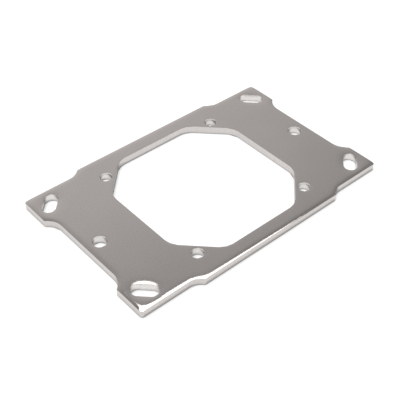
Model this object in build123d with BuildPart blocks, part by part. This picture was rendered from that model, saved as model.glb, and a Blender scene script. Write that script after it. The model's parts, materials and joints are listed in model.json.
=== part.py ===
from build123d import *
import os
from math import atan2, degrees, hypot, sqrt

os.makedirs("parts", exist_ok=True)

# Mounting plate of a processor water block: one flat plate blanked from sheet, all sizes in mm.
# The origin is the centre of the underside, X runs along the length and Z points up,
# so the plate lies flat on Z = 0 with the rolled rim of the blanked sheet on top.

# Sheet
plate_thickness = 3.0
top_edge_radius = 0.4
bottom_edge_bevel = 0.2
hole_mouth_bevel = 0.25

# Studs of the computer board: the plate fits two rectangles of studs, and from the longer and
# narrower one to the other each stud shifts by the same run along both edges of the plate
near_pattern_length = 90.0
near_pattern_width = 54.0
stud_shift = 3.0
slot_width = 4.8

# Corner lugs: the metal left outside the slots at the short side, the long side and the waist
lug_end_land = 2.3
lug_side_land = 2.4
lug_waist_land = 1.95
lug_tip_radius = 1.0

# Steps of the outline: long sides that stand out between the lugs and short sides that are
# set back between them
belly_rise = 2.25
belly_overlap = 1.3
belly_step_radius = 5.7
waist_setback = 3.0
waist_step_radius = 6.6
step_corner_radius = 0.5

# Window for the block's body: a square with cut corners, rounded where its edges meet, that
# leaves a rail at each long side
rail_width = 5.7
window_corner_radius = 7.1

# Four holes for the screws that hold the plate on the block, each with a thin land to the
# window's cut corner
block_hole_pitch = 48.5
block_hole_diameter = 4.2
block_hole_land = 1.1

# Two holes on the long centre line, one at each short side
side_hole_setback = 5.1
side_hole_diameter = 4.75

# Corner slots: each runs from a corner of one stud rectangle to the same corner of the other
far_pattern_length = near_pattern_length + 2 * stud_shift
far_pattern_width = near_pattern_width - 2 * stud_shift
slot_x = (near_pattern_length + far_pattern_length) / 4
slot_y = (near_pattern_width + far_pattern_width) / 4
slot_travel = hypot(stud_shift, stud_shift)
slot_angle = degrees(atan2(-stud_shift, stud_shift))

# Half sizes that the outline's quarter is drawn with
lug_end = (far_pattern_length + slot_width) / 2 + lug_end_land
lug_side = (near_pattern_width + slot_width) / 2 + lug_side_land
belly_side = lug_side + belly_rise
waist_end = lug_end - waist_setback
waist_side = (far_pattern_width - slot_width) / 2 - lug_waist_land

# The window keeps its rails and its lands, and the belly reaches a little past the window
window_width = 2 * (belly_side - rail_width)
block_hole_reach = hypot(block_hole_pitch, block_hole_pitch) / 2
window_cut_reach = block_hole_reach - block_hole_diameter / 2 - block_hole_land
window_corner_cut = window_width - hypot(window_cut_reach, window_cut_reach)
belly_end = window_width / 2 + belly_overlap
side_hole_pitch = 2 * (waist_end - side_hole_setback)

# Each step is an arc tangent to the lower edge that stops where it meets the higher one,
# so its run follows from its height and radius
belly_step_run = sqrt(belly_rise * (2 * belly_step_radius - belly_rise))
waist_step_run = sqrt(waist_setback * (2 * waist_step_radius - waist_setback))

with BuildPart() as mounting_plate:
    # Blank: one quarter of the outline, mirrored over both centre lines
    with BuildSketch() as blank:
        with BuildLine() as outline:
            Line((0, belly_side), (belly_end, belly_side))
            RadiusArc(
                (belly_end, belly_side),
                (belly_end + belly_step_run, lug_side),
                -belly_step_radius,
            )
            FilletPolyline(
                (belly_end + belly_step_run, lug_side),
                (lug_end, lug_side),
                (lug_end, waist_side),
                radius=lug_tip_radius,
            )
            RadiusArc(
                (lug_end, waist_side),
                (waist_end, waist_side - waist_step_run),
                -waist_step_radius,
            )
            Line((waist_end, waist_side - waist_step_run), (waist_end, 0))
            step_corners = [(belly_end, belly_side), (lug_end, waist_side)]
            fillet(
                [outline.vertices().sort_by_distance(corner)[0] for corner in step_corners],
                radius=step_corner_radius,
            )
            mirror(about=Plane.YZ)
            mirror(about=Plane.XZ)
        make_face()
    extrude(amount=plate_thickness)

    # Window
    with BuildSketch() as window:
        Rectangle(window_width, window_width)
        chamfer(window.vertices(), length=window_corner_cut)
        fillet(window.vertices(), radius=window_corner_radius)
    extrude(amount=plate_thickness, mode=Mode.SUBTRACT)

    # Rims of the outline and the window: a roll on top and a slight bevel underneath
    fillet(mounting_plate.faces().sort_by(Axis.Z)[-1].edges(), radius=top_edge_radius)
    chamfer(mounting_plate.faces().sort_by(Axis.Z)[0].edges(), length=bottom_edge_bevel)

    # Corner slots with the same rims: one drawn, the others mirrored over both centre lines
    with BuildSketch() as slots:
        with Locations((slot_x, slot_y)):
            SlotCenterToCenter(slot_travel, slot_width, rotation=slot_angle)
        mirror(about=Plane.YZ)
        mirror(about=Plane.XZ)
    extrude(amount=plate_thickness, mode=Mode.SUBTRACT)
    slot_rims = mounting_plate.edges(Select.LAST).group_by(Axis.Z)
    fillet(slot_rims[-1], radius=top_edge_radius)
    chamfer(slot_rims[0], length=bottom_edge_bevel)

    # Round holes, right through, with bevelled mouths
    with BuildSketch() as holes:
        with GridLocations(block_hole_pitch, block_hole_pitch, 2, 2):
            Circle(block_hole_diameter / 2)
        with GridLocations(side_hole_pitch, 0, 2, 1):
            Circle(side_hole_diameter / 2)
    extrude(amount=plate_thickness, mode=Mode.SUBTRACT)
    hole_rims = mounting_plate.edges(Select.LAST).group_by(Axis.Z)
    chamfer(hole_rims[-1], length=hole_mouth_bevel)
    chamfer(hole_rims[0], length=bottom_edge_bevel)

mounting_plate.part.label = "mounting_plate"
export_step(mounting_plate.part, "parts/mounting_plate.step")
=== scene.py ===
"""Looks of a water block mounting plate: the finished metal plate, its studio and the photograph's camera.

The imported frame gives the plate's outer sizes, its thickness and its hole patterns. The plate is built anew
here with the soft roll that blanking leaves along its edges, which catches the studio's light.
All lengths are in metres, apart from the fields whose names end in _mm.
"""
import json
import logging
import math
from collections.abc import Callable
from dataclasses import dataclass, field
from enum import Enum, IntEnum

import bpy
import numpy as np
from mathutils import Matrix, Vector
from mathutils.geometry import delaunay_2d_cdt


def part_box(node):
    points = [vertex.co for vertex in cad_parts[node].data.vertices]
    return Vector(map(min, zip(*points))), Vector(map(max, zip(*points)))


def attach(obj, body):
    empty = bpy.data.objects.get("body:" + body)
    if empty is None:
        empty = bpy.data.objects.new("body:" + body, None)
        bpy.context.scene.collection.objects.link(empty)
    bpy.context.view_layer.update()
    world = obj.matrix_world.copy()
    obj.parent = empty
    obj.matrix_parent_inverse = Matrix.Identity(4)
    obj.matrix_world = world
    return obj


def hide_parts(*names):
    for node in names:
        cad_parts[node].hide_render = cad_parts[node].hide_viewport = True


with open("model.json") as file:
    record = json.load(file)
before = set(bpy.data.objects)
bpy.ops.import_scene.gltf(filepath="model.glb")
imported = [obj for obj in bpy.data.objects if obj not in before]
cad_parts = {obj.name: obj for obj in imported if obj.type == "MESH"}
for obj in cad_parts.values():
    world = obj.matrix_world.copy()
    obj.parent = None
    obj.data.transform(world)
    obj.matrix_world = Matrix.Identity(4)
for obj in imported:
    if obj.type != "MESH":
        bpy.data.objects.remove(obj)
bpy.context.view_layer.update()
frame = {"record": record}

MM = 0.001
QUARTER_TURN = math.pi / 2
NODE = "mounting_plate"
LOG = logging.getLogger("plate")

# What counts as nothing: a distance squared between places, and the rise of a level edge piece
SAME_PLACE = 1e-14
LEVEL_RISE = 1e-15
# How many points are worked on at once, to spare memory
BLOCK = 2000


class Side(Enum):
    """Which side of a closed edge the metal lies on."""

    OUTSIDE = "the plate's outer edge, with metal within it"
    INSIDE = "the edge of a hole, with metal round it"


class Cut(Enum):
    """How an edge of the plate was made, which sets the form of its rim."""

    BLANKED = "the outer edge, punched from the sheet with a deep soft roll along the top"
    PIERCED = "a slot, punched out of the blank with a shallower roll along the top"
    TRIMMED = "the window, trimmed to size so that little of the roll is left"
    DRILLED = "a round hole, drilled and bevelled at its mouth"


class Surface(IntEnum):
    """What a face of the plate's mesh belongs to, by the number of its finish."""

    FACE = 0
    OUTER_WALL = 1
    CUT_WALL = 2


def blocks(count: int) -> list[np.ndarray]:
    """Shares indices out into blocks that are small enough to be worked on at once."""
    return np.array_split(np.arange(count), max(1, count // BLOCK))


def straight(start: tuple[float, float], end: tuple[float, float], step: float) -> np.ndarray:
    """Points along a straight line, the last one left out.

    Args:
        start: where the line starts.
        end: where the line ends.
        step: the largest distance between points.

    Returns:
        The points, one row each: start plus an even share of the way to the end.
    """
    a, b = np.asarray(start, float), np.asarray(end, float)
    count = max(2, math.ceil(float(np.linalg.norm(b - a)) / step))
    share = np.arange(count)[:, None] / count
    return a + (b - a) * share


def round_arc(
    centre: tuple[float, float], radius: float, first: float, last: float, step: float
) -> np.ndarray:
    """Points along an arc of a circle, the last one left out.

    Args:
        centre: the circle's centre.
        radius: the circle's radius.
        first: the angle that the arc starts at, in radians.
        last: the angle that the arc ends at, in radians.
        step: the largest distance between points.

    Returns:
        The points, one row each: the centre plus the radius turned evenly from first to last.
    """
    count = max(4, math.ceil(abs(last - first) * radius / step))
    angle = first + (last - first) * np.arange(count) / count
    return np.asarray(centre, float) + radius * np.stack([np.cos(angle), np.sin(angle)], 1)


def axes_matrix(x: np.ndarray, y: np.ndarray, z: np.ndarray, place: np.ndarray) -> Matrix:
    """A matrix that turns an object's own axes along three directions and puts it at a place.

    Args:
        x: the direction of its X axis, of length one, like the next two.
        y: the direction of its Y axis.
        z: the direction of its Z axis.
        place: where its origin goes.

    Returns:
        The matrix, with the directions and the place as its columns.
    """
    turned = np.eye(4)
    turned[:3, :] = np.stack([x, y, z, place], 1)
    return Matrix(turned.tolist())


@dataclass(frozen=True)
class EdgeLoop:
    """One closed edge of the plate in plan, with the metal on the left of its direction."""

    points: np.ndarray
    normals: np.ndarray
    cut: Cut

    @staticmethod
    def from_points(
        dense: np.ndarray, side: Side, cut: Cut, ease: float, spacing: float, turn: float
    ) -> "EdgeLoop":
        """Makes a loop from close points: eases its bends and keeps as many points as it needs.

        Args:
            dense: the closed edge's points, counterclockwise and evenly close together.
            side: which side of the edge the metal is on.
            cut: how the edge was made.
            ease: how far along the edge a bend's easing reaches.
            spacing: the largest distance between the points that are kept.
            turn: the largest turn between the points that are kept, in radians.

        Returns:
            The loop. Each point is the mean of its neighbours under a bell curve, which is followed for
            three of its widths. The normal is the direction of travel turned right. A point is kept
            whenever length and turn, as shares of what is allowed, have added up to one more, up to
            half a share before the start comes round again.
        """
        if side is Side.INSIDE:
            dense = dense[::-1]
        pitch = float(np.mean(np.linalg.norm(np.roll(dense, -1, 0) - dense, axis=1)))
        reach = max(2, math.ceil(3 * ease / pitch))
        offsets = np.arange(-reach, reach + 1)
        bell = np.exp(-0.5 * (offsets * pitch / ease) ** 2)
        eased = sum(w * np.roll(dense, k, 0) for k, w in zip(offsets, bell / bell.sum()))
        ahead = np.roll(eased, -1, 0) - np.roll(eased, 1, 0)
        heading = np.unwrap(np.arctan2(ahead[:, 1], ahead[:, 0]))
        travel = np.linalg.norm(np.roll(eased, -1, 0) - eased, axis=1)
        bend = np.abs(np.diff(heading, append=heading[-1]))
        tally = np.cumsum(travel / spacing + bend / turn)
        keep = np.unique(np.searchsorted(tally, np.arange(0, tally[-1] - 0.5)))
        along = ahead[keep] / np.linalg.norm(ahead[keep], axis=1)[:, None]
        return EdgeLoop(eased[keep], np.stack([along[:, 1], -along[:, 0]], 1), cut)

    def inset(self, distance: float) -> np.ndarray:
        """The loop's points moved into the metal by a distance."""
        return self.points - self.normals * distance


@dataclass(frozen=True)
class PlateSizes:
    """Driving sizes of the plate's plan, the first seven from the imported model, and what follows."""

    length: float
    width: float
    thickness: float
    screw_pitch: float
    screw_radius: float
    side_pitch: float
    side_radius: float
    stud_length: float = 90.0 * MM
    stud_width: float = 54.0 * MM
    stud_shift: float = 3.0 * MM
    slot_width: float = 4.8 * MM
    lug_side_land: float = 2.4 * MM
    lug_waist_land: float = 1.95 * MM
    lug_tip_radius: float = 1.0 * MM
    belly_overlap: float = 1.3 * MM
    belly_step_radius: float = 5.7 * MM
    waist_setback: float = 3.0 * MM
    waist_step_radius: float = 6.6 * MM
    step_corner_radius: float = 0.5 * MM
    rail_width: float = 5.7 * MM
    window_corner_radius: float = 7.1 * MM
    screw_land: float = 1.1 * MM

    @staticmethod
    def from_frame() -> "PlateSizes":
        """Reads the plate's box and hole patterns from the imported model.

        Returns:
            The sizes: length, width and thickness are the box's, and the holes' pitches and radii are
            those of the record's mounts.
        """
        low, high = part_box(NODE)
        dims = {m["name"]: m["dims"] for m in frame["record"]["mounts"]}
        screws, sides = dims["block_screws"], dims["side_holes"]
        return PlateSizes(
            length=high.x - low.x,
            width=high.y - low.y,
            thickness=high.z - low.z,
            screw_pitch=screws["spacing_x_mm"] * MM,
            screw_radius=screws["hole_r_mm"] * MM,
            side_pitch=sides["spacing_x_mm"] * MM,
            side_radius=sides["hole_r_mm"] * MM,
        )

    @property
    def lug_side(self) -> float:
        """How far the lugs reach from the long centre line."""
        return (self.stud_width + self.slot_width) / 2 + self.lug_side_land

    @property
    def waist_end(self) -> float:
        """How far the waist reaches from the short centre line."""
        return self.length / 2 - self.waist_setback

    @property
    def waist_side(self) -> float:
        """How far from the long centre line the waist's step meets the lug's end."""
        return (self.stud_width - self.slot_width) / 2 - self.stud_shift - self.lug_waist_land

    @property
    def window_half(self) -> float:
        """Half the window's width, which leaves a rail at each long side."""
        return self.width / 2 - self.rail_width

    @property
    def window_cut(self) -> float:
        """How much the window's corners are cut by, which leaves a land at each screw hole."""
        reach = self.screw_pitch / math.sqrt(2) - self.screw_radius - self.screw_land
        return 2 * self.window_half - reach * math.sqrt(2)

    @property
    def belly_end(self) -> float:
        """How far from the short centre line the belly's step meets its long side."""
        return self.window_half + self.belly_overlap


@dataclass(frozen=True)
class Step:
    """A step of the outline: an arc tangent to the lower edge, and a rounded corner at the higher one."""

    height: float
    radius: float
    corner: float

    @property
    def run(self) -> float:
        """How far along the edge the arc would go to the unrounded corner."""
        return math.sqrt(self.height * (2 * self.radius - self.height))

    @property
    def corner_reach(self) -> float:
        """How far along the edge the rounding's centre is from the arc's centre."""
        return math.sqrt((self.radius + self.corner) ** 2 - (self.radius - self.height + self.corner) ** 2)

    @property
    def sweep(self) -> float:
        """The turn that the arc and its rounding share."""
        return math.atan2(self.corner_reach, self.radius - self.height + self.corner)


@dataclass(frozen=True)
class Roll:
    """The soft roll that cutting leaves along the top's edges, deeper at outer corners than at inner ones."""

    depth: float
    reach: float
    gather: float

    def drop(self, points: np.ndarray, starts: np.ndarray, ends: np.ndarray) -> tuple[np.ndarray, np.ndarray]:
        """How far the top lies below its flat level, and how steeply it falls.

        Args:
            points: places in plan, one row each.
            starts: where the pieces of the rolled edges start.
            ends: where they end, with the metal on their left.

        Returns:
            The drops, and their slopes along X and Y. A drop is the depth times a power of twice the share
            of empty plan round the place under a bell curve: a half beside a straight edge, more at an
            outer corner and less at an inner one. By the divergence theorem that share is a sum over the
            edge pieces, here with two places on each, taken from the whole for edges that run
            counterclockwise and so hold the metal within them, and from nothing for the edges of holes.
        """
        along = ends - starts
        whole = float((starts[:, 0] * ends[:, 1] - starts[:, 1] * ends[:, 0]).sum() > 0)
        weight = np.tile(np.stack([along[:, 1], -along[:, 0]], 1) / 2, (2, 1))
        first, second = 0.5 - 0.5 / math.sqrt(3), 0.5 + 0.5 / math.sqrt(3)
        places = np.concatenate([starts + along * first, starts + along * second])
        empty, slope = np.empty(len(points)), np.empty((len(points), 2))
        for block in blocks(len(points)):
            gap = places[None] - points[block][:, None]
            square = np.maximum((gap ** 2).sum(2), SAME_PLACE)
            bell = np.exp(-square / (2 * self.reach ** 2))
            empty[block] = whole - ((gap * weight).sum(2) * (1 - bell) / square).sum(1) / math.tau
            slope[block] = bell @ weight / (math.tau * self.reach ** 2)
        twice = 2 * np.clip(empty, 0, None)
        steep = self.depth * self.gather * 2 * twice ** (self.gather - 1)
        return self.depth * twice ** self.gather, steep[:, None] * slope


@dataclass(frozen=True)
class Rim:
    """Section of the rim along one kind of edge: the top's roll, a bevel and the corners beside the wall."""

    roll: Roll
    top_corner: float = 0.1 * MM
    bevel: float = 0.02 * MM
    bottom_corner: float = 0.2 * MM


FAINT_ROLL = Roll(depth=0.02 * MM, reach=0.6 * MM, gather=1.2)
RIMS = {
    Cut.BLANKED: Rim(Roll(depth=0.146 * MM, reach=1.60 * MM, gather=2.33)),
    Cut.PIERCED: Rim(Roll(depth=0.129 * MM, reach=1.78 * MM, gather=1.52)),
    Cut.TRIMMED: Rim(FAINT_ROLL),
    Cut.DRILLED: Rim(FAINT_ROLL, top_corner=0.03 * MM, bevel=0.23 * MM),
}


@dataclass
class PlatePlan:
    """The plate seen from above: its outer edge, window, slots and holes as closed loops."""

    sizes: PlateSizes
    fine: float = 0.04 * MM
    ease: float = 0.08 * MM
    spacing: float = 0.5 * MM
    turn: float = math.radians(8)
    loops: list[EdgeLoop] = field(default_factory=list)

    def build(self) -> None:
        """Draws every closed edge of the plate."""
        s = self.sizes
        self._add(self._outline(), Side.OUTSIDE, Cut.BLANKED)
        self._add(self._window(), Side.INSIDE, Cut.TRIMMED)
        for x, y in ((1, 1), (-1, 1), (-1, -1), (1, -1)):
            self._add(self._slot(x, y), Side.INSIDE, Cut.PIERCED)
            centre = (x * s.screw_pitch / 2, y * s.screw_pitch / 2)
            self._add(self._ring(centre, s.screw_radius), Side.INSIDE, Cut.DRILLED)
        for x in (1, -1):
            self._add(self._ring((x * s.side_pitch / 2, 0.0), s.side_radius), Side.INSIDE, Cut.DRILLED)

    def _add(self, dense: np.ndarray, side: Side, cut: Cut) -> None:
        """Keeps one closed edge as a loop."""
        self.loops.append(EdgeLoop.from_points(dense, side, cut, self.ease, self.spacing, self.turn))

    def _line(self, start: tuple[float, float], end: tuple[float, float]) -> np.ndarray:
        """A straight stretch of an edge in the plan's own fine points."""
        return straight(start, end, self.fine)

    def _arc(self, centre: tuple[float, float], radius: float, first: float, last: float) -> np.ndarray:
        """A round stretch of an edge in the plan's own fine points."""
        return round_arc(centre, radius, first, last, self.fine)

    def _mirrored(self, quarter: np.ndarray) -> np.ndarray:
        """Closes a quarter edge, drawn counterclockwise from the X axis to the Y axis, over both axes.

        Args:
            quarter: points from the X axis up to the Y axis, both ends held.

        Returns:
            The closed edge, counterclockwise, with no point held twice.
        """
        second = (quarter * [-1, 1])[::-1][1:]
        upper = np.concatenate([quarter, second])
        lower = (upper * [1, -1])[::-1][1:-1]
        return np.concatenate([upper, lower])

    def _outline(self) -> np.ndarray:
        """The outer edge: waist, step, lug with its rounded tip, step and belly, mirrored.

        Returns:
            The closed edge. A step's arc goes from the lower edge to its rounded corner, whose arc turns
            back by the same sweep on to the higher edge.
        """
        s = self.sizes
        end, side, top = s.length / 2, s.lug_side, s.width / 2
        tip, corner = s.lug_tip_radius, s.step_corner_radius
        waist = Step(s.waist_setback, s.waist_step_radius, corner)
        belly = Step(top - side, s.belly_step_radius, corner)
        waist_x, waist_y = s.waist_end, s.waist_side - waist.run
        belly_x = s.belly_end + belly.run
        waist_corner_y, belly_corner_x = waist_y + waist.corner_reach, belly_x - belly.corner_reach
        waist_turn, belly_turn = math.pi - waist.sweep, QUARTER_TURN - belly.sweep
        quarter = [
            self._line((waist_x, 0), (waist_x, waist_y)),
            self._arc((waist_x + waist.radius, waist_y), waist.radius, math.pi, waist_turn),
            self._arc((end - corner, waist_corner_y), corner, -waist.sweep, 0),
            self._line((end, waist_corner_y), (end, side - tip)),
            self._arc((end - tip, side - tip), tip, 0, QUARTER_TURN),
            self._line((end - tip, side), (belly_x, side)),
            self._arc((belly_x, side + belly.radius), belly.radius, -QUARTER_TURN, belly_turn - math.pi),
            self._arc((belly_corner_x, top - corner), corner, belly_turn, QUARTER_TURN),
            self._line((belly_corner_x, top), (0, top)),
            np.array([[0, top]]),
        ]
        return self._mirrored(np.concatenate(quarter))

    def _window(self) -> np.ndarray:
        """The window's edge: a square with cut corners, each of its eight corners an arc.

        Returns:
            The closed edge. An arc of an eighth of a turn takes the radius times the tangent of a
            sixteenth of a turn from each side.
        """
        s = self.sizes
        half, radius, cut = s.window_half, s.window_corner_radius, s.window_cut
        eighth_turn = QUARTER_TURN / 2
        taken = radius * math.tan(eighth_turn / 2)
        straight_end = half - cut - taken
        diagonal = taken / math.sqrt(2)
        inner, far, near = half - radius, half - diagonal, half - cut + diagonal
        quarter = [
            self._line((half, 0), (half, straight_end)),
            self._arc((inner, straight_end), radius, 0, eighth_turn),
            self._line((far, near), (near, far)),
            self._arc((straight_end, inner), radius, eighth_turn, QUARTER_TURN),
            self._line((straight_end, half), (0, half)),
            np.array([[0, half]]),
        ]
        return self._mirrored(np.concatenate(quarter))

    def _ring(self, centre: tuple[float, float], radius: float) -> np.ndarray:
        """A round hole's edge, counterclockwise."""
        return self._arc(centre, radius, 0, math.tau)

    def _slot(self, x_sign: int, y_sign: int) -> np.ndarray:
        """A corner slot's edge: two half rounds joined by straight flanks.

        Args:
            x_sign: 1 for the corners at +X and -1 for those at -X.
            y_sign: 1 for the corners at +Y and -1 for those at -Y.

        Returns:
            The closed edge, from a corner of the one stud rectangle to the same corner of the other.
        """
        s = self.sizes
        sign = np.array([x_sign, y_sign])
        near = sign * [s.stud_length / 2, s.stud_width / 2]
        far = near + sign * [s.stud_shift, -s.stud_shift]
        lie = math.atan2(far[1] - near[1], far[0] - near[0])
        radius = s.slot_width / 2
        across = np.array([-math.sin(lie), math.cos(lie)]) * radius
        left, right = lie + QUARTER_TURN, lie - QUARTER_TURN
        return np.concatenate([
            self._arc(tuple(far), radius, right, left),
            self._line(tuple(far + across), tuple(near + across)),
            self._arc(tuple(near), radius, left, left + math.pi),
            self._line(tuple(near - across), tuple(far - across)),
        ])

    def segments(self, cuts: tuple[Cut, ...] = tuple(Cut)) -> tuple[np.ndarray, np.ndarray]:
        """Start and end points of every edge piece of the loops that were made in the given ways."""
        chosen = [loop.points for loop in self.loops if loop.cut in cuts]
        return np.concatenate(chosen), np.concatenate([np.roll(points, -1, 0) for points in chosen])

    def edge_distance(self, points: np.ndarray) -> np.ndarray:
        """The distance from points to the nearest edge piece.

        Args:
            points: places in plan, one row each.

        Returns:
            The least distance to each piece's nearest place, found by dropping the point on its line
            and holding the foot between the piece's ends.
        """
        starts, ends = self.segments()
        along = ends - starts
        length2 = (along ** 2).sum(1)
        result = np.empty(len(points))
        for block in blocks(len(points)):
            offset = points[block][:, None] - starts[None]
            share = np.clip((offset * along).sum(2) / length2, 0, 1)
            gap = offset - share[..., None] * along
            result[block] = np.sqrt((gap ** 2).sum(2).min(1))
        return result

    def in_metal(self, points: np.ndarray) -> np.ndarray:
        """Which points lie in the metal.

        Args:
            points: places in plan, one row each.

        Returns:
            For each point, whether it does: a line from it to the right then crosses an odd number of
            edge pieces.
        """
        starts, ends = self.segments()
        inside = np.zeros(len(points), bool)
        for block in blocks(len(points)):
            x, y = points[block, 0][:, None], points[block, 1][:, None]
            spans = (starts[:, 1] > y) != (ends[:, 1] > y)
            rise = ends[:, 1] - starts[:, 1]
            rise = np.where(np.abs(rise) < LEVEL_RISE, LEVEL_RISE, rise)
            cross = starts[:, 0] + (y - starts[:, 1]) / rise * (ends[:, 0] - starts[:, 0])
            inside[block] = (spans & (x < cross)).sum(1) % 2 == 1
        return inside


Value = bpy.types.NodeSocket | float


class Graph:
    """A node tree that is filled by calls which hand back their results as sockets."""

    def __init__(self, owner: bpy.types.Material | bpy.types.World) -> None:
        """Empties the owner's node tree and keeps it.

        Args:
            owner: the material or the world that the nodes are for.
        """
        owner.use_nodes = True
        self.tree = owner.node_tree
        self.tree.nodes.clear()

    def add(
        self, kind: str, inputs: dict[str | int, object] | None = None, **settings: object
    ) -> bpy.types.Node:
        """Adds a node.

        Args:
            kind: the node's type.
            inputs: what goes into its sockets, by their names or places: a socket is linked and
                anything else is set as the socket's own value.
            settings: the node's own settings.

        Returns:
            The node.
        """
        node = self.tree.nodes.new(kind)
        for name, value in settings.items():
            setattr(node, name, value)
        for key, value in (inputs or {}).items():
            if isinstance(value, bpy.types.NodeSocket):
                self.tree.links.new(value, node.inputs[key])
            else:
                node.inputs[key].default_value = value
        return node

    def math(self, operation: str, first: Value, second: Value = 0.0) -> bpy.types.NodeSocket:
        """What one operation makes of two values."""
        return self.add("ShaderNodeMath", {0: first, 1: second}, operation=operation).outputs[0]

    def dot(self, vector: bpy.types.NodeSocket, direction: np.ndarray) -> bpy.types.NodeSocket:
        """How far a vector reaches along a direction."""
        given = {0: vector, 1: tuple(float(v) for v in direction)}
        return self.add("ShaderNodeVectorMath", given, operation="DOT_PRODUCT").outputs["Value"]

    def ramp(
        self, value: Value, span: tuple[float, float], results: tuple[float, float]
    ) -> bpy.types.NodeSocket:
        """A value carried evenly from a span to a span of results, and held at its ends.

        Args:
            value: the value.
            span: the values that give the first and the last result.
            results: those two results.

        Returns:
            The result: the first one plus the value's share of the span times their difference.
        """
        given = {"Value": value, "From Min": span[0], "From Max": span[1],
                 "To Min": results[0], "To Max": results[1]}
        return self.add("ShaderNodeMapRange", given).outputs["Result"]

    def noise(self, place: bpy.types.NodeSocket, size: float, detail: float) -> bpy.types.NodeSocket:
        """Soft noise with marks of a size, from 0 to 1."""
        given = {"Vector": place, "Scale": 1 / size, "Detail": detail}
        return self.add("ShaderNodeTexNoise", given).outputs["Fac"]

    def blend(
        self, share: bpy.types.NodeSocket, none: tuple[float, ...], full: tuple[float, ...]
    ) -> bpy.types.NodeSocket:
        """A colour between two others, by a share.

        Args:
            share: how much of the second colour it has, from 0 to 1.
            none: the colour where the share is 0.
            full: the colour where the share is 1.

        Returns:
            The colour. The node's sockets for colours come after those for numbers and vectors, which
            have the same names, so they are reached by their places.
        """
        node = self.add("ShaderNodeMix", {"Factor": share, 6: none, 7: full}, data_type="RGBA")
        return node.outputs[2]

    def finish(self, kind: str, shader: bpy.types.NodeSocket) -> None:
        """Hands the shader to the tree's output."""
        self.add(kind, {"Surface": shader})


@dataclass(frozen=True)
class MetalFinish:
    """A plated metal finish: its colour, its gloss and the fine marks in it."""

    name: str
    colour: tuple[float, float, float]
    roughness: float
    gloss_change: float
    grain: float
    grain_depth: float
    stretch: tuple[float, float, float] = (1.0, 1.0, 1.0)
    grain_detail: float = 2.0
    tone_change: float = 0.18
    drift: float = 22 * MM
    drift_detail: float = 3.0
    drift_share: float = 0.35
    drift_span: tuple[float, float] = (0.3, 0.7)

    def material(self) -> bpy.types.Material:
        """Makes the finish as a material.

        Returns:
            A metal whose gloss drifts slowly over the piece, within the span that the drift mostly keeps
            to, and whose tone follows that drift and a fine grain, which is a bump too. Both are noise on
            Object coordinates, and the grain is stretched by the finish's own factors.
        """
        made = bpy.data.materials.new(self.name)
        graph = Graph(made)
        place = graph.add("ShaderNodeTexCoord").outputs["Object"]
        stretched = graph.add("ShaderNodeMapping", {"Vector": place, "Scale": self.stretch}).outputs[0]
        grain = graph.noise(stretched, self.grain, self.grain_detail)
        drift = graph.noise(place, self.drift, self.drift_detail)
        shade = graph.math("ADD", graph.math("MULTIPLY", drift, self.drift_share),
                           graph.math("MULTIPLY", grain, 1 - self.drift_share))
        tone = graph.blend(shade, self._toned(1 - self.tone_change), self._toned(1 + self.tone_change))
        glosses = self.roughness - self.gloss_change, self.roughness + self.gloss_change
        bump = graph.add("ShaderNodeBump", {"Height": grain, "Distance": self.grain_depth, "Strength": 1.0})
        metal = graph.add("ShaderNodeBsdfPrincipled", {
            "Base Color": tone,
            "Metallic": 1.0,
            "Roughness": graph.ramp(drift, self.drift_span, glosses),
            "Normal": bump.outputs["Normal"],
        })
        graph.finish("ShaderNodeOutputMaterial", metal.outputs[0])
        return made

    def _toned(self, factor: float) -> tuple[float, float, float, float]:
        """The finish's colour made lighter or darker by a factor, with its last value for full cover."""
        red, green, blue = (min(1.0, factor * part) for part in self.colour)
        return red, green, blue, 1.0


# Marks drawn out along the plate's thickness
DRAWN_UPRIGHT = (1.0, 1.0, 0.08)
FINISHES = {
    Surface.FACE: MetalFinish(
        name="satin_face",
        colour=(0.65, 0.605, 0.58),
        roughness=0.07,
        gloss_change=0.01,
        grain=0.5 * MM,
        grain_depth=0.005 * MM,
    ),
    Surface.OUTER_WALL: MetalFinish(
        name="burnished_wall",
        colour=(0.64, 0.61, 0.595),
        roughness=0.16,
        gloss_change=0.03,
        grain=0.25 * MM,
        grain_depth=0.002 * MM,
        stretch=DRAWN_UPRIGHT,
    ),
    # Painted light: slot and hole walls get a lighter copy of the metal's colour, standing in for the light
    # that reaches them inside the holes
    Surface.CUT_WALL: MetalFinish(
        name="cut_wall_painted_light",
        colour=(0.80, 0.775, 0.76),
        roughness=0.22,
        gloss_change=0.04,
        grain=0.3 * MM,
        grain_depth=0.003 * MM,
        stretch=DRAWN_UPRIGHT,
    ),
}


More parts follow.
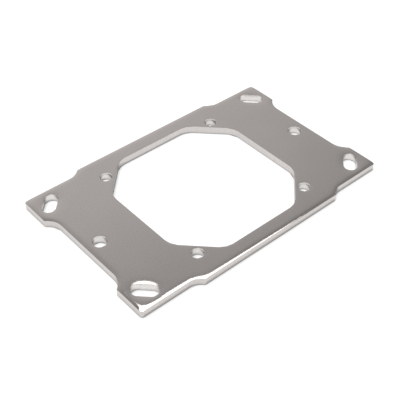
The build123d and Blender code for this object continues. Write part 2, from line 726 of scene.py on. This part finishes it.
@dataclass
class MountingPlate:
    """The plate's surface: a rim section carried along every edge, a rolled top and a flat underside."""

    plan: PlatePlan
    rims: dict[Cut, Rim]
    top_rows: int = 4
    bottom_rows: int = 5
    grid_pitch: float = 0.42 * MM
    coarse_share: int = 3
    fine_reach: float = 3.2 * MM
    first_ring: float = 0.25 * MM
    ring_gap: float = 0.225 * MM
    grid_gap: float = 0.42 * MM
    weld_mm: float = 1e-7
    name: str = "finished_plate"

    def build(self) -> bpy.types.Object:
        """Makes the plate's mesh.

        Returns:
            The plate's object, at the origin, with its place in its mesh.
        """
        edge = np.concatenate([loop.points for loop in self.plan.loops])
        out = np.concatenate([loop.normals for loop in self.plan.loops])
        following = self._following()
        rows, row_normals, wall_row = self._rim_rows(edge, out)
        top_plan = np.concatenate([rows[0][:, :2], self._inner_points()])
        drop, fall = self._rolled(top_plan)
        top_normals = np.column_stack([fall, np.ones(len(fall))])
        top_normals /= np.linalg.norm(top_normals, axis=1)[:, None]
        count, strip_count = len(edge), len(rows) - 1
        inner = np.column_stack([top_plan, self.plan.sizes.thickness - drop])[count:]

        top_tris = self._triangles(top_plan, following)
        top_tris = np.where(top_tris < count, top_tris, top_tris + strip_count * count)
        low_tris = self._triangles(rows[-1][:, :2], following)[:, ::-1] + strip_count * count
        first, here = np.arange(strip_count)[:, None] * count, np.arange(count)
        strips = [first + here, first + count + here, first + count + following, first + following]
        quads = np.stack(strips, 2).reshape(-1, 4)
        mesh = bpy.data.meshes.new(self.name)
        mesh.from_pydata(np.concatenate([*rows, inner]).tolist(), [],
                         top_tris.tolist() + low_tris.tolist() + quads.tolist())
        surfaces = self._surfaces(len(mesh.polygons), strip_count, wall_row)
        mesh.polygons.foreach_set("material_index", surfaces)
        mesh.polygons.foreach_set("use_smooth", np.ones(len(mesh.polygons), bool))
        mesh.update()
        normals = np.concatenate([top_normals[:count], *row_normals[1:], top_normals[count:]])
        mesh.normals_split_custom_set_from_vertices(normals.tolist())
        plate = bpy.data.objects.new(self.name, mesh)
        bpy.context.scene.collection.objects.link(plate)
        LOG.info("%s: %d vertices, %d faces", self.name, len(mesh.vertices), len(mesh.polygons))
        return plate

    def dress(self, plate: bpy.types.Object) -> None:
        """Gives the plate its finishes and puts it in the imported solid's place.

        Args:
            plate: the plate's object, whose faces already hold the numbers of their surfaces.
        """
        for surface in Surface:
            plate.data.materials.append(FINISHES[surface].material())
        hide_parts(NODE)
        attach(plate, "root")

    def _following(self) -> np.ndarray:
        """Which edge point comes after each.

        Returns:
            For every edge point, the index of the next one on its loop, the first after the last.
        """
        parts, start = [], 0
        for loop in self.plan.loops:
            count = len(loop.points)
            parts.append(start + np.roll(np.arange(count), -1))
            start += count
        return np.concatenate(parts)

    def _per_edge(self, value: Callable[[EdgeLoop], float]) -> np.ndarray:
        """A value of each closed edge, given to every one of its points."""
        return np.concatenate([np.full(len(loop.points), value(loop)) for loop in self.plan.loops])

    def _surfaces(self, face_count: int, strip_count: int, wall_row: int) -> np.ndarray:
        """Which surface of the plate every face of the mesh belongs to.

        Args:
            face_count: how many faces the mesh has, those of the strips round the edges last.
            strip_count: how many strips go round the edges.
            wall_row: the number of the strip that is the wall.

        Returns:
            The surfaces' numbers. Slots and round holes have cut walls, the rest outer ones, and a round
            hole's bevel goes with its wall.
        """
        surfaces = np.full(face_count, Surface.FACE, np.int32)
        edge_count = sum(len(loop.points) for loop in self.plan.loops)
        strips = surfaces[face_count - strip_count * edge_count:].reshape(strip_count, edge_count)
        strips[self.top_rows - 1:wall_row] = self._per_edge(
            lambda loop: Surface.CUT_WALL if loop.cut is Cut.DRILLED else Surface.FACE
        )
        strips[wall_row] = self._per_edge(
            lambda loop: Surface.CUT_WALL if loop.cut in (Cut.PIERCED, Cut.DRILLED) else Surface.OUTER_WALL
        )
        return surfaces

    def _rolled(self, points: np.ndarray) -> tuple[np.ndarray, np.ndarray]:
        """The drop and the slope of all the rolls together at places in plan."""
        parts = [rim.roll.drop(points, *self.plan.segments((cut,))) for cut, rim in self.rims.items()]
        return sum(drop for drop, _ in parts), sum(fall for _, fall in parts)

    def _rim_rows(self, edge: np.ndarray, out: np.ndarray) -> tuple[list[np.ndarray], list[np.ndarray], int]:
        """Carries the rim's section along every edge.

        Args:
            edge: the edge points.
            out: the directions out of the metal at those points.

        Returns:
            The rows of points from the top's edge round to the underside's, their normals, and the number
            of the row that the wall starts at. The top corner is an arc from the roll's slope to the wall,
            parted halfway by the bevel, and the bottom one an arc from the wall to the underside. The
            wall is the strip between the two.
        """
        top = self._per_edge(lambda loop: self.rims[loop.cut].top_corner)
        bevel = self._per_edge(lambda loop: self.rims[loop.cut].bevel)
        bottom = self._per_edge(lambda loop: self.rims[loop.cut].bottom_corner)
        _, fall = self._rolled(edge - out * (top + bevel)[:, None])
        tilt = np.arctan(np.clip((fall * out).sum(1), 0, None))
        drop, _ = self._rolled(edge - out * (top * (1 - np.sin(tilt)) + bevel)[:, None])
        centre = self.plan.sizes.thickness - drop - top * np.cos(tilt)
        rows, normals = [], []
        halfway = QUARTER_TURN / 2
        for first, last, passed in ((tilt, halfway, 0.0), (halfway, QUARTER_TURN, 1.0)):
            for share in np.linspace(0, 1, self.top_rows):
                turn = np.full(len(edge), first + (last - first) * share)
                flat = edge - out * (top * (1 - np.sin(turn)) + bevel * (1 - passed))[:, None]
                rows.append(np.column_stack([flat, centre + top * np.cos(turn) - bevel * passed]))
                normals.append(np.column_stack([out * np.sin(turn)[:, None], np.cos(turn)]))
        wall_row = len(rows) - 1
        for turn in np.linspace(QUARTER_TURN, math.pi, self.bottom_rows + 1):
            flat = edge - out * (bottom * (1 - math.sin(turn)))[:, None]
            rows.append(np.column_stack([flat, bottom * (1 + math.cos(turn))]))
            normals.append(np.column_stack([out * math.sin(turn), np.full(len(edge), math.cos(turn))]))
        return rows, normals, wall_row

    def _inner_points(self) -> np.ndarray:
        """Points of the top between its edges: a ring along every edge, then a three-way grid.

        Returns:
            The places in plan. The grid is coarser where it is far from every edge. What is nearer to an
            edge than the ring's gap, or the grid's, is left out.
        """
        plan, pitch = self.plan, self.grid_pitch
        ring = np.concatenate([loop.inset(self.first_ring) for loop in plan.loops])
        ring = ring[plan.edge_distance(ring) > self.ring_gap]
        half = np.array([plan.sizes.length, plan.sizes.width]) / 2
        rise = pitch * math.sqrt(3) / 2
        up_count = math.ceil(half[1] / rise)
        along_count = math.ceil((half[0] + half[1]) / pitch)
        up, along = np.mgrid[-up_count:up_count + 1, -along_count:along_count + 1]
        coarse = ((up % self.coarse_share == 0) & (along % self.coarse_share == 0)).ravel()
        grid = np.column_stack([((along + up / 2) * pitch).ravel(), (up * rise).ravel()])
        within = (np.abs(grid) < half).all(1)
        grid, coarse = grid[within], coarse[within]
        metal = plan.in_metal(grid)
        grid, coarse = grid[metal], coarse[metal]
        gap = plan.edge_distance(grid)
        return np.concatenate([ring, grid[(gap > self.grid_gap) & (coarse | (gap < self.fine_reach))]])

    def _triangles(self, plan_points: np.ndarray, following: np.ndarray) -> np.ndarray:
        """Fills the metal between the edges with triangles.

        Args:
            plan_points: the places in plan, the edge points first.
            following: for every edge point, the index of the next one on its loop.

        Returns:
            The triangles' corners as indices of the given points, counterclockwise. They are the
            triangulation of the places in millimetres that keeps every edge piece, without those whose
            middle lies in a hole or outside the plate.
        """
        edges = np.column_stack([np.arange(len(following)), following])
        _, _, faces, sources, *_ = delaunay_2d_cdt(
            (plan_points / MM).tolist(), edges.tolist(), [], 0, self.weld_mm, True
        )
        tris = np.array([ids[0] for ids in sources])[np.array(faces)]
        tris = tris[self.plan.in_metal(plan_points[tris].mean(1))]
        a, b, c = (plan_points[tris[:, k]] for k in range(3))
        turn = (b[:, 0] - a[:, 0]) * (c[:, 1] - a[:, 1]) - (b[:, 1] - a[:, 1]) * (c[:, 0] - a[:, 0])
        return np.where((turn < 0)[:, None], tris[:, ::-1], tris)


@dataclass(frozen=True)
class PhotoCamera:
    """The photograph's camera: where it stands round the plate's aimed point and how long its lens is."""

    bearing_deg: float = 41.529
    elevation_deg: float = 42.118
    roll_deg: float = -0.558
    distance: float = 279.14 * MM
    aim: tuple[float, float, float] = (-7.135 * MM, -5.748 * MM, 2.7 * MM)
    lens_mm: float = 74.478
    sensor_mm: float = 36.0

    def build(self) -> bpy.types.Object:
        """Makes the camera and puts it in charge.

        Returns:
            The camera's object. It stands on the -X, -Y side of the aimed point: the bearing turns it
            from -Y towards -X, the elevation lifts it and the roll turns it about its own sight line.
        """
        a, e, r = (math.radians(v) for v in (self.bearing_deg, self.elevation_deg, self.roll_deg))
        back = np.array([-math.sin(a) * math.cos(e), -math.cos(a) * math.cos(e), math.sin(e)])
        level = np.array([math.cos(a), -math.sin(a), 0.0])
        upright = np.cross(back, level)
        right = math.cos(r) * level - math.sin(r) * upright
        up = math.sin(r) * level + math.cos(r) * upright
        data = bpy.data.cameras.new("photo_camera")
        data.lens = self.lens_mm
        data.sensor_width = self.sensor_mm
        data.clip_start = 0.01
        camera = bpy.data.objects.new("photo_camera", data)
        bpy.context.scene.collection.objects.link(camera)
        camera.matrix_world = axes_matrix(right, up, back, np.array(self.aim) + back * self.distance)
        bpy.context.scene.camera = camera
        return camera


@dataclass(frozen=True)
class Softbox:
    """A flat lamp with a plain bright face, so far off that all of the plate sees it alike."""

    name: str = "softbox"
    bearing_deg: float = 39.17
    elevation_deg: float = 77.29
    roll_deg: float = 4.59
    distance: float = 20.0
    width: float = 8.81
    low: float = -8.99
    high: float = 1.0
    brightness: float = 1.9

    @property
    def height(self) -> float:
        """The lamp's height, from its low edge to its high one."""
        return self.high - self.low

    def axes(self) -> tuple[np.ndarray, np.ndarray, np.ndarray]:
        """The lamp's own directions.

        Returns:
            The directions along its width, along its height and away from the plate, each of length
            one and square to the others.
        """
        a, e, r = (math.radians(v) for v in (self.bearing_deg, self.elevation_deg, self.roll_deg))
        away = np.array([math.cos(a) * math.cos(e), math.sin(a) * math.cos(e), math.sin(e)])
        level = np.array([-math.sin(a), math.cos(a), 0.0])
        across = math.cos(r) * level + math.sin(r) * np.cross(away, level)
        return across, np.cross(away, across), away

    def build(self) -> bpy.types.Object:
        """Makes the lamp.

        Returns:
            The lamp's object. Its power is its brightness times its area times pi, so that its face
            has that brightness from wherever it is seen. The bearing turns it from +X towards +Y, the
            elevation lifts it, and the roll turns it about the line to the plate. Its low and high edges
            are measured from that line.
        """
        data = bpy.data.lights.new(self.name, "AREA")
        data.shape = "RECTANGLE"
        data.size, data.size_y = self.width, self.height
        data.energy = self.brightness * self.width * self.height * math.pi
        lamp = bpy.data.objects.new(self.name, data)
        bpy.context.scene.collection.objects.link(lamp)
        across, up, away = self.axes()
        middle = away * self.distance + up * (self.low + self.high) / 2
        lamp.matrix_world = axes_matrix(across, up, away, middle)
        lamp.visible_camera = False
        return lamp


@dataclass(frozen=True)
class Surroundings:
    """The room round the plate: grey behind it, darkest round the lamp, and bright on the near side."""

    level: float = -1.056
    slope: tuple[float, float, float] = (0.703, 1.588, 0.513)
    limits: tuple[float, float] = (0.29, 0.9)
    rim_depth: float = 0.74
    rim_span: tuple[float, float] = (-0.113, 0.183)
    front: float = 0.82
    front_span: tuple[float, float] = (0.2, 0.42)
    away: tuple[float, float, float] = (0.66, 0.75, 0.0)

    def build(self, lamp: Softbox) -> bpy.types.World:
        """Makes the room.

        Args:
            lamp: the lamp that the room is darkest round.

        Returns:
            The room. Its brightness is a level plus how far the direction reaches along a slope, held
            between its limits. Round the lamp it is lessened, and less so the further the direction
            passes outside the lamp's rectangle, measured one length away from the plate. On the near
            side it gives way to a plain bright front. The camera itself sees plain white.
        """
        world = bpy.data.worlds.new("studio")
        bpy.context.scene.world = world
        graph = Graph(world)
        toward = graph.add("ShaderNodeTexCoord").outputs["Generated"]
        slope = graph.dot(toward, np.array(self.slope))
        grey = graph.ramp(graph.math("ADD", slope, self.level), self.limits, self.limits)
        across, up, away = lamp.axes()
        depth = graph.dot(toward, away)
        beside = []
        for axis, low, high in ((across, -lamp.width / 2, lamp.width / 2), (up, lamp.low, lamp.high)):
            reach = graph.math("DIVIDE", graph.dot(toward, axis), depth)
            off = graph.math("ABSOLUTE", graph.math("SUBTRACT", reach, (low + high) / 2 / lamp.distance))
            beside.append(graph.math("SUBTRACT", off, (high - low) / 2 / lamp.distance))
        rim = graph.ramp(graph.math("MAXIMUM", *beside), self.rim_span, (self.rim_depth, 1.0))
        back = graph.ramp(graph.dot(toward, np.array(self.away)), self.front_span, (0.0, 1.0))
        shaded = graph.math("MULTIPLY", graph.math("MULTIPLY", grey, rim), back)
        lit = graph.math("MULTIPLY", graph.math("SUBTRACT", 1.0, back), self.front)
        plain = (1.0, 1.0, 1.0, 1.0)
        room = graph.add("ShaderNodeBackground", {"Color": plain, "Strength": graph.math("ADD", shaded, lit)})
        white = graph.add("ShaderNodeBackground", {"Color": plain})
        camera = graph.add("ShaderNodeLightPath").outputs["Is Camera Ray"]
        chosen = graph.add("ShaderNodeMixShader", {0: camera, 1: room.outputs[0], 2: white.outputs[0]})
        graph.finish("ShaderNodeOutputWorld", chosen.outputs[0])
        return world


@dataclass(frozen=True)
class Floor:
    """A flat pale floor just under the plate, lifted to white for the camera and for gloss, with painted
    shade where the plate stands on it.
    """

    half: float = 4.0
    gap: float = 0.02 * MM
    colour: float = 0.4
    glow_seen: float = 0.85
    glow_gloss: float = 0.71
    # Painted shade: the reach of the occlusion that darkens the lift, its strength for gloss and for the
    # camera, and the way it leans
    painted_shade_reach: float = 1.2 * MM
    gloss_painted_shade_power: float = 3.0
    seen_painted_shade_power: float = 0.6
    painted_shade_lean: tuple[float, float, float] = (-0.58, 0.13, 0.804)

    def build(self) -> bpy.types.Object:
        """Makes the floor.

        Returns:
            The floor's object, staged. The lift is darkened by ambient occlusion where the plate stands on
            the floor, which is painted shade:
            much for gloss, so that the walls' feet reflect a dark line, and a little for the camera, a faint
            painted contact shadow.
            The occlusion is looked for along a normal leaning towards -X, so the painted shade is deeper
            beside the plate's +X side than beside its -X side.
        """
        h = self.half
        mesh = bpy.data.meshes.new("floor")
        corners = [(x, y, -self.gap) for x, y in ((-h, -h), (h, -h), (h, h), (-h, h))]
        mesh.from_pydata(corners, [], [(0, 1, 2, 3)])
        floor = bpy.data.objects.new("floor", mesh)
        bpy.context.scene.collection.objects.link(floor)
        made = bpy.data.materials.new("pale_floor")
        graph = Graph(made)
        matt = graph.add("ShaderNodeBsdfDiffuse", {"Color": (*(self.colour,) * 3, 1.0)})
        path = graph.add("ShaderNodeLightPath")
        # Painted shade: ambient occlusion along a normal leaning towards -X darkens the lift next to the
        # plate
        painted_shade_normal = graph.add("ShaderNodeCombineXYZ", dict(zip("XYZ", self.painted_shade_lean))).outputs[0]
        given = {"Distance": self.painted_shade_reach, "Normal": painted_shade_normal}
        painted_shade_openness = graph.add("ShaderNodeAmbientOcclusion", given, samples=16).outputs["AO"]
        seen = graph.math("MULTIPLY", path.outputs["Is Camera Ray"], self.glow_seen)
        # Painted contact shadow on the floor as the camera sees it
        shaded = graph.math("MULTIPLY", seen, graph.math("POWER", painted_shade_openness, self.seen_painted_shade_power))
        gloss = graph.math("MULTIPLY", path.outputs["Is Glossy Ray"], self.glow_gloss)
        # Painted shade in gloss: the walls' feet reflect this darkened lift as a dark line
        gloss_with_painted_shade = graph.math("MULTIPLY", gloss, graph.math("POWER", painted_shade_openness, self.gloss_painted_shade_power))
        lift = graph.math("ADD", shaded, gloss_with_painted_shade)
        glow = graph.add("ShaderNodeEmission", {"Strength": lift})
        both = graph.add("ShaderNodeAddShader", {0: matt.outputs[0], 1: glow.outputs[0]})
        graph.finish("ShaderNodeOutputMaterial", both.outputs[0])
        mesh.materials.append(made)
        return floor


def main() -> None:
    """Builds the plate, the studio and the camera."""
    logging.basicConfig(level=logging.INFO, format="%(message)s")
    plan = PlatePlan(PlateSizes.from_frame())
    plan.build()
    LOG.info("plan: %d closed edges", len(plan.loops))
    plate = MountingPlate(plan, RIMS)
    plate.dress(plate.build())
    lamp = Softbox()
    LOG.info("%s: a bright face of %.2f by %.2f m", lamp.build().name, lamp.width, lamp.height)
    LOG.info("%s: the room round the plate", Surroundings().build(lamp).name)
    floor, camera = Floor(), PhotoCamera()
    LOG.info("%s: %.0f m across", floor.build().name, 2 * floor.half)
    LOG.info("%s: a lens of %.1f mm", camera.build().name, camera.lens_mm)
    bpy.context.scene.view_settings.view_transform = "Standard"


if __name__ == "__main__":
    main()
